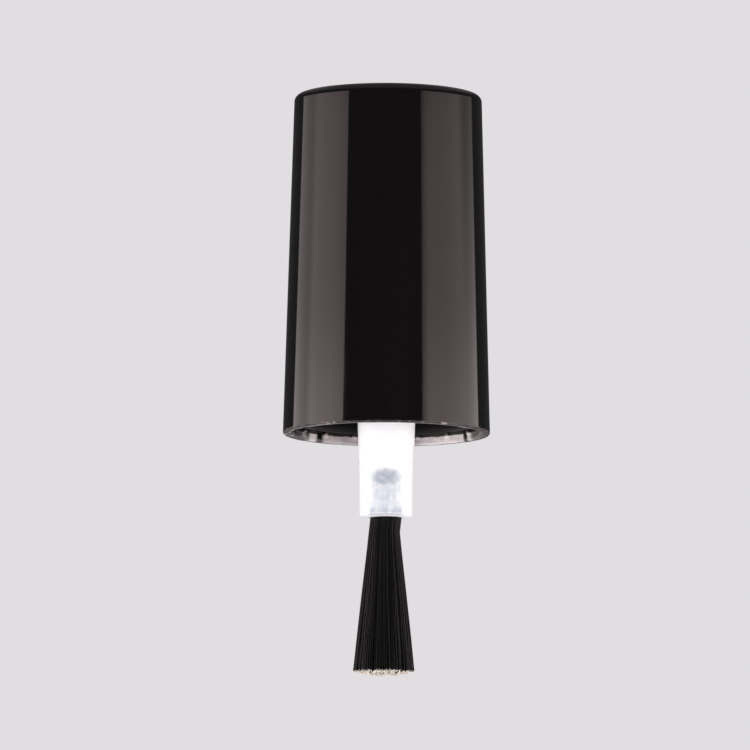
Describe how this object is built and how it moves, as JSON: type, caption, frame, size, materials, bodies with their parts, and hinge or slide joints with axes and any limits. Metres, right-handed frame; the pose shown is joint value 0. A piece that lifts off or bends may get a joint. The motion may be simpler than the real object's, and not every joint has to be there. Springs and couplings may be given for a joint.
{
  "type": "nail lacquer bottle cap with applicator brush",
  "caption": "Tapered glossy screw cap for a small bottle, with a threaded liner, a translucent stem with a sealing flange, and a flared filament brush under it.",
  "frame": {"origin": "centre of the cap's rim plane, on the cap's axis", "axes": "+Z along the axis, from the rim to the cap's closed top; the brush points to -Z; X is across the brush, in the plane it bends in"},
  "size_m": [0.0164, 0.0164, 0.046],
  "materials": {
    "cap_shell": "black, high gloss, with faint moulding haze",
    "cap_liner": "black, as moulded, satin",
    "stem": "natural white, translucent, waxy",
    "anchor": "flat wire, cut ends",
    "filament_root": "black filaments, packed",
    "filament": "black filaments with pale cut tips"
  },
  "bodies": {
    "cap": {"outer_cap": "cap_shell", "inner_cap": "cap_liner", "brush_stem": "stem", "anchor_staple": "anchor", "tuft_root": "filament_root"},
    "tuft": {"bristle_tuft": "filament"}
  },
  "joints": [
    {"name": "tuft_flex", "type": "hinge", "parent": "cap", "child": "tuft", "pos_m": [0, 0, -0.00781], "axis": [0, 1, 0], "range_deg": [-30, 30], "stiffness_Nm_per_rad": 0.001}
  ]
}
